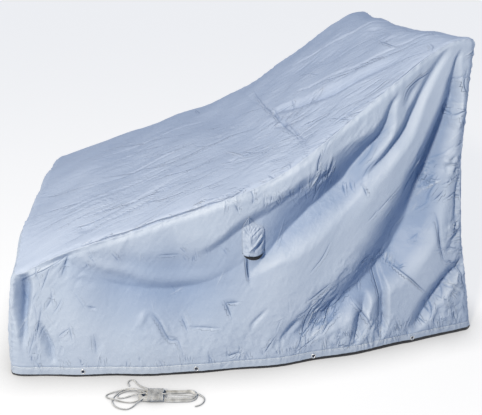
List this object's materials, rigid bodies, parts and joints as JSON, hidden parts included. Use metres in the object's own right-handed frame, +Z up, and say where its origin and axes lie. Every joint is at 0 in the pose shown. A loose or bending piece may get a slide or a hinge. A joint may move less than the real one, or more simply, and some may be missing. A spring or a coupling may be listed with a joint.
{
  "type": "lounge chair cover",
  "caption": "Fitted weather cover for a lounge chair: low front, sloping top, high back, turned hem with eyelets, a hooded side vent and a loose draw cord.",
  "frame": {"origin": "centre of the cover's footprint, at the height of the hem's lowest point", "axes": "+Z up, -Y the low front, +Y the high back, +X the side with the vent hood"},
  "size_m": [1.1662, 1.3684, 0.8419],
  "materials": {
    "top_cloth": "coated polyester cloth, faint sheen",
    "side_cloth": "coated polyester cloth, faint sheen",
    "hem_cloth": "turned and stitched coated cloth",
    "vent_cloth": "coated polyester cloth",
    "eyelet_metal": "satin pressed metal",
    "draw_cord": "twisted off-white cord"
  },
  "bodies": {
    "root": {"top_panel": "top_cloth", "side_panel_left": "side_cloth", "side_panel_right": "side_cloth", "front_panel": "side_cloth", "back_panel": "side_cloth", "hem_left": "hem_cloth", "hem_right": "hem_cloth", "hem_front": "hem_cloth", "hem_back": "hem_cloth", "vent_hood_left": "vent_cloth", "eyelet_left_1": "eyelet_metal", "eyelet_left_2": "eyelet_metal", "eyelet_left_3": "eyelet_metal", "eyelet_left_4": "eyelet_metal", "eyelet_right_1": "eyelet_metal", "eyelet_right_2": "eyelet_metal", "eyelet_right_3": "eyelet_metal", "eyelet_right_4": "eyelet_metal", "eyelet_front_1": "eyelet_metal", "eyelet_front_2": "eyelet_metal", "eyelet_back_1": "eyelet_metal", "eyelet_back_2": "eyelet_metal", "draw_cord_hank": "draw_cord", "draw_cord_loop": "draw_cord", "draw_cord_tail": "draw_cord"}
  },
  "joints": []
}
